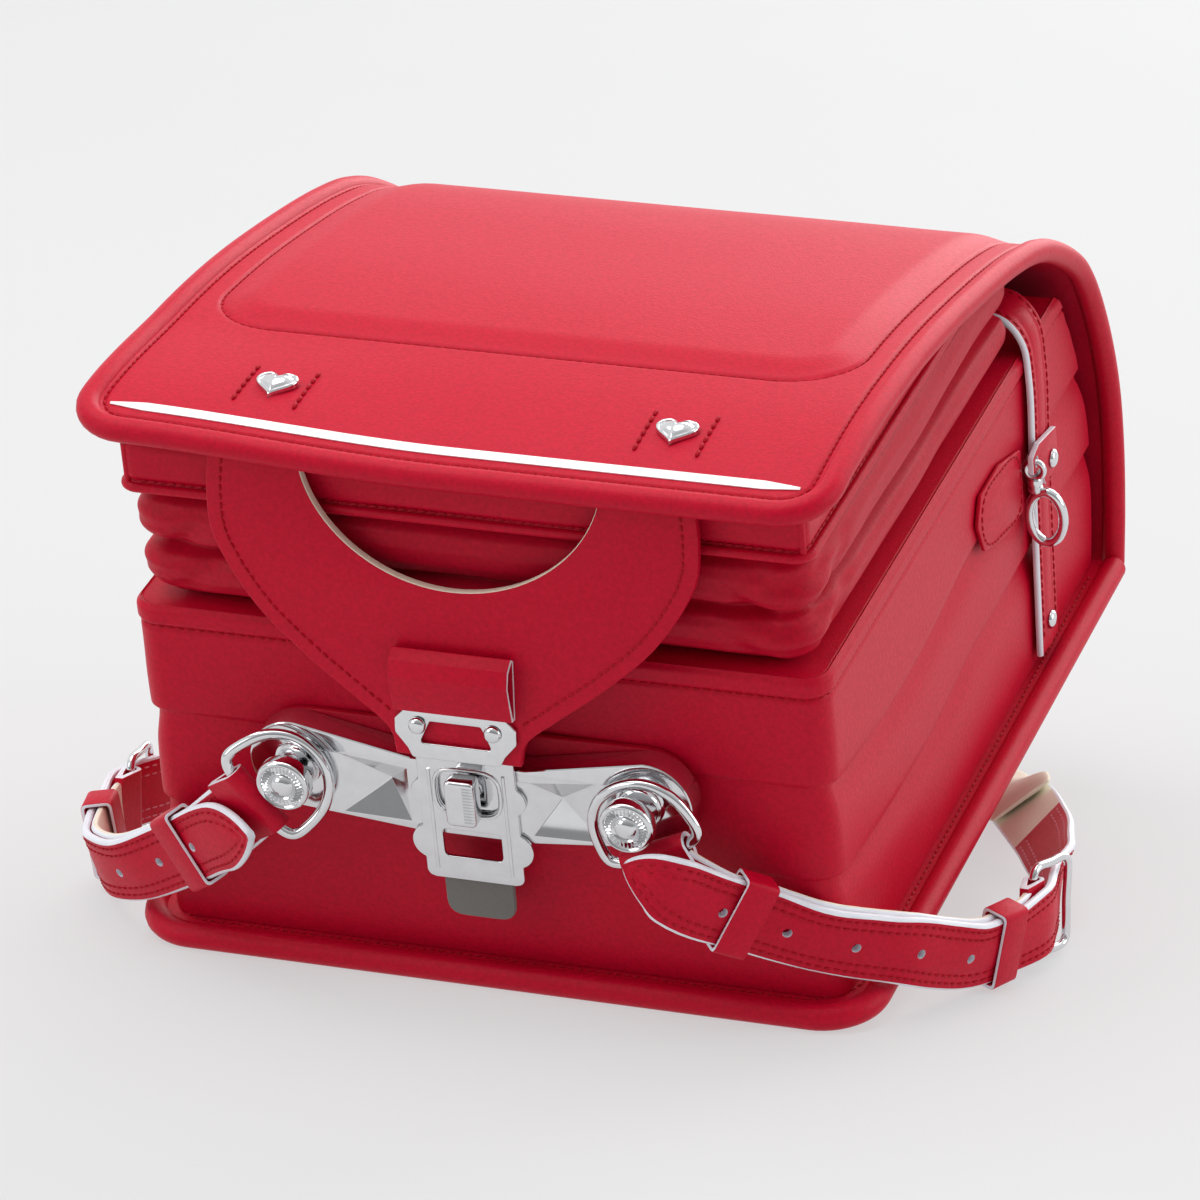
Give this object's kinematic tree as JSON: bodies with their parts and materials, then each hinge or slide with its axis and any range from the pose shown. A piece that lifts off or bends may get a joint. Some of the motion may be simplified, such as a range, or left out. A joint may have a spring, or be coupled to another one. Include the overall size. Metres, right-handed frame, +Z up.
{
  "type": "school ransel",
  "caption": "Rigid red leather school satchel lying on its back panel, with a flap over a turn lock, a gusset pocket, metal rings, and shoulder straps folded under it.",
  "frame": {"origin": "middle of the outline, on the surface that the bag lies on", "axes": "+X across the bag's width, +Y from the bottom face with the lock to the far bend, +Z up"},
  "size_m": [0.3368, 0.3544, 0.2279],
  "materials": {
    "red_leather": "smooth matte synthetic leather with a fine grain",
    "dark_leather": "matte leather in shade",
    "cream_lining": "soft padded lining",
    "felt": "grey felt",
    "chrome": "polished plating",
    "reflector": "smooth reflective film"
  },
  "bodies": {
    "bag": {"back_panel": "red_leather", "main_body": "red_leather", "bellows": "red_leather", "pocket": "red_leather", "flap": "red_leather", "reflective_stripe": "reflector", "heart_rivet_left": "chrome", "heart_rivet_right": "chrome", "lock_patch": "dark_leather", "lock_base": "chrome", "ring_post_left": "chrome", "ring_post_right": "chrome", "hasp": "chrome", "felt_tongue": "felt", "front_tab": "red_leather", "lock_plate": "chrome", "plate_rivet_left": "chrome", "plate_rivet_right": "chrome", "tab_fold": "red_leather", "d_ring_left": "chrome", "d_ring_right": "chrome", "strap_anchor": "dark_leather", "side_strap": "red_leather", "side_strap_rivet": "chrome", "hook_tab": "red_leather", "hook_rivet": "chrome", "side_hook": "chrome", "hook_patch": "red_leather", "lower_strap_left": "red_leather", "lower_strap_right": "red_leather", "shoulder_strap_left": "red_leather", "shoulder_strap_right": "red_leather", "shoulder_pad_left": "cream_lining", "shoulder_pad_right": "cream_lining", "buckle_left": "chrome", "buckle_right": "chrome", "keeper_left": "red_leather", "keeper_right": "red_leather", "buckle_keeper_left": "red_leather", "buckle_keeper_right": "red_leather"},
    "knob": {"lock_knob": "chrome"}
  },
  "joints": [
    {"name": "knob_turn", "type": "hinge", "parent": "bag", "child": "knob", "pos_m": [0.00191, -0.146, 0.07579], "axis": [0, -0.9659, -0.2588], "range_deg": [0, 90]}
  ]
}
